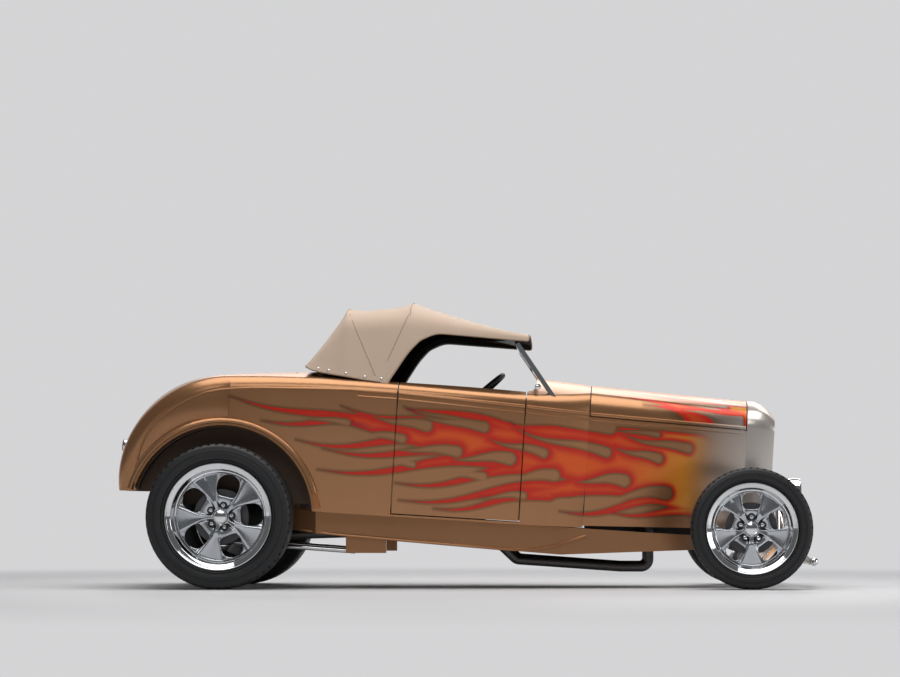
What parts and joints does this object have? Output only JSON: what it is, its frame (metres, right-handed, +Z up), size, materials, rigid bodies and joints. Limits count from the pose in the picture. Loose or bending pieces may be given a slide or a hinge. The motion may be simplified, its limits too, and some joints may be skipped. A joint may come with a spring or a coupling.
{
  "type": "street rod roadster",
  "caption": "Open-wheeled street rod roadster with a fabric top, upright grille, flamed bronze paint and polished wheels; doors, hood, deck lid, steering and wheels move.",
  "frame": {"origin": "on the floor, midway along, across and under the car", "axes": "+X forward, +Y to the car's left, +Z up"},
  "size_m": [3.6318, 1.7298, 1.487],
  "materials": {
    "body_paint": "satin bronze metallic with flames",
    "canvas": "woven canvas",
    "seal": "matt",
    "leather": "soft",
    "glass": "clear",
    "red_lens": "clear red",
    "chrome": "bright plate",
    "polished": "polished",
    "tyre": "matt",
    "dark_iron": "cast",
    "dark_paint": "satin black",
    "exhaust": "coated",
    "rim_grip": "stitched"
  },
  "bodies": {
    "chassis": {"boot_floor": "dark_paint", "cowl": "body_paint", "crossmembers": "dark_paint", "dashboard": "dark_paint", "engine_block": "dark_iron", "exhaust_pipes": "exhaust", "firewall": "dark_paint", "floor_pan": "dark_paint", "frame_rails": "body_paint", "front_axle": "chrome", "front_leaf_spring": "chrome", "gearbox_and_shaft": "dark_iron", "grille_insert": "dark_paint", "grille_shell": "body_paint", "headlamp_lenses": "glass", "headlamps": "chrome", "hood_side_left": "body_paint", "hood_side_right": "body_paint", "link_brackets": "dark_paint", "radiator": "dark_paint", "rear_axle": "dark_iron", "rear_body": "body_paint", "rear_coilovers": "dark_iron", "rear_link_bars": "chrome", "seat_back": "leather", "seat_cushion": "leather", "sills": "body_paint", "soft_top": "canvas", "spreader_bar": "chrome", "steering_column": "dark_paint", "tail_lamps": "red_lens", "top_side_rails": "seal", "wheel_tubs": "body_paint", "windscreen_frame": "chrome", "windscreen_glass": "glass"},
    "door_left": {"door_left": "body_paint"},
    "door_right": {"door_right": "body_paint"},
    "hood_top": {"hood_top": "body_paint"},
    "deck_lid": {"deck_lid": "body_paint"},
    "steering_wheel": {"steering_wheel": "rim_grip"},
    "knuckle_left": {"knuckle_left": "dark_iron"},
    "knuckle_right": {"knuckle_right": "dark_iron"},
    "tie_rod": {"tie_rod": "dark_iron"},
    "front_left_wheel": {"wheel_front_left": "polished", "tyre_front_left": "tyre", "brake_disc_front_left": "dark_iron"},
    "front_right_wheel": {"wheel_front_right": "polished", "tyre_front_right": "tyre", "brake_disc_front_right": "dark_iron"},
    "rear_left_wheel": {"wheel_rear_left": "polished", "tyre_rear_left": "tyre", "brake_disc_rear_left": "dark_iron"},
    "rear_right_wheel": {"wheel_rear_right": "polished", "tyre_rear_right": "tyre", "brake_disc_rear_right": "dark_iron"}
  },
  "joints": [
    {"name": "left_steer", "type": "hinge", "parent": "chassis", "child": "knuckle_left", "pos_m": [1.457, 0.585, 0.308], "axis": [0, 0, 1], "range_deg": [-28, 28]},
    {"name": "right_steer", "type": "hinge", "parent": "chassis", "child": "knuckle_right", "pos_m": [1.457, -0.585, 0.308], "axis": [0, 0, 1], "range_deg": [-28, 28]},
    {"name": "tie_rod_pivot", "type": "hinge", "parent": "knuckle_left", "child": "tie_rod", "pos_m": [1.327, 0.585, 0.227], "axis": [0, 0, 1], "range_deg": [-28, 28]},
    {"name": "steering_wheel_turn", "type": "hinge", "parent": "chassis", "child": "steering_wheel", "pos_m": [0.044, 0.35, 1.008], "axis": [-0.6561, 0, 0.7547], "range_deg": [-340, 340]},
    {"name": "left_door", "type": "hinge", "parent": "chassis", "child": "door_left", "pos_m": [0.29594, 0.6, 0.64269], "axis": [-0.0628, 0, -0.998], "range_deg": [0, 60]},
    {"name": "right_door", "type": "hinge", "parent": "chassis", "child": "door_right", "pos_m": [0.29594, -0.6, 0.64269], "axis": [0.0628, 0, 0.998], "range_deg": [0, 60]},
    {"name": "hood_lift", "type": "hinge", "parent": "chassis", "child": "hood_top", "pos_m": [0.65167, 0, 1.05717], "axis": [0, -1, 0], "range_deg": [0, 50]},
    {"name": "deck_lid_lift", "type": "hinge", "parent": "chassis", "child": "deck_lid", "pos_m": [-0.87296, 0, 1.12704], "axis": [0, 1, 0], "range_deg": [0, 55]},
    {"name": "front_left_spin", "type": "hinge", "parent": "knuckle_left", "child": "front_left_wheel", "pos_m": [1.457, 0.69, 0.308], "axis": [0, 1, 0], "continuous": true},
    {"name": "front_right_spin", "type": "hinge", "parent": "knuckle_right", "child": "front_right_wheel", "pos_m": [1.457, -0.69, 0.308], "axis": [0, 1, 0], "continuous": true},
    {"name": "rear_left_spin", "type": "hinge", "parent": "chassis", "child": "rear_left_wheel", "pos_m": [-1.235, 0.72, 0.368], "axis": [0, 1, 0], "continuous": true},
    {"name": "rear_right_spin", "type": "hinge", "parent": "chassis", "child": "rear_right_wheel", "pos_m": [-1.235, -0.72, 0.368], "axis": [0, 1, 0], "continuous": true}
  ],
  "couplings": [
    {"joint": "right_steer", "follows": "left_steer", "ratio": 1},
    {"joint": "tie_rod_pivot", "follows": "left_steer", "ratio": -1},
    {"joint": "steering_wheel_turn", "follows": "left_steer", "ratio": 12}
  ]
}
